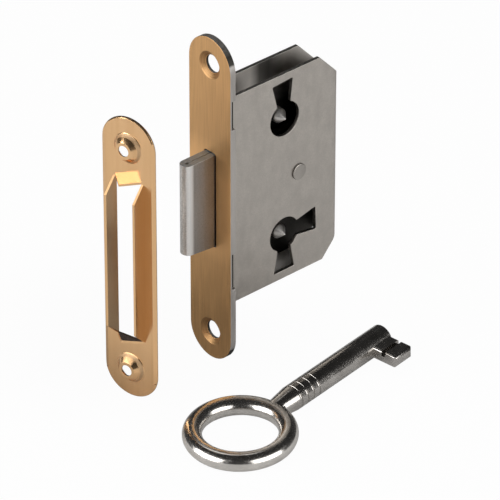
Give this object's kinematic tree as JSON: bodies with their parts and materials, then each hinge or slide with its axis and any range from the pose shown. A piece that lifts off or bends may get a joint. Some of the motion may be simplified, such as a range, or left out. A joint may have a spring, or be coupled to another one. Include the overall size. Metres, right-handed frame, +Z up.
{
  "type": "cut cupboard lock",
  "caption": "Cut cupboard lock with a brass-faced forend, folded steel case, sliding hairpin bolt and sprung tumbler, set out with its pressed brass strike plate and hollow ring-bow key.",
  "frame": {"origin": "middle of the forend's back face, half way between its two screw holes", "axes": "+X runs from the forend into the door, +Z runs up along the forend, and the keyholes look along -Y"},
  "size_m": [0.0706, 0.0536, 0.089],
  "materials": {
    "satin_brass": "brass plated steel, brushed lengthwise, with bare steel edges",
    "bright_brass": "brass plated steel, polished",
    "case_steel": "satin zinc plated sheet",
    "bolt_steel": "satin, drawn along its height",
    "turned_steel": "turned, semi-bright",
    "spring_steel": "drawn wire",
    "nickel": "polished nickel plate"
  },
  "bodies": {
    "lock": {"forend": "satin_brass", "case_shell": "case_steel", "upper_drill_pin": "turned_steel", "lower_drill_pin": "turned_steel", "guide_rivet": "case_steel", "tumbler_pivot": "turned_steel", "tumbler_spring": "spring_steel"},
    "bolt": {"bolt": "bolt_steel", "bolt_stump": "turned_steel"},
    "tumbler": {"tumbler": "case_steel", "tumbler_block": "turned_steel", "tumbler_lug": "turned_steel"},
    "strike": {"strike_plate": "bright_brass"},
    "key": {"key": "nickel"}
  },
  "joints": [
    {"name": "bolt_throw", "type": "slide", "parent": "lock", "child": "bolt", "axis": [1, 0, 0], "range_m": [0, 0.009]},
    {"name": "tumbler_swing", "type": "hinge", "parent": "lock", "child": "tumbler", "pos_m": [0.0304, 0, 0], "axis": [0, 1, 0], "range_deg": [-18.98, 0], "stiffness_Nm_per_rad": 0.02, "springref_deg": -9.49, "deforming": ["tumbler_spring"]},
    {"name": "strike_approach", "type": "slide", "parent": "lock", "child": "strike", "axis": [1, 0, 0], "range_m": [0, 0.022]},
    {"name": "key_lift", "type": "slide", "parent": "lock", "child": "key", "axis": [0, 0, 1], "range_m": [0, 0.03]}
  ]
}
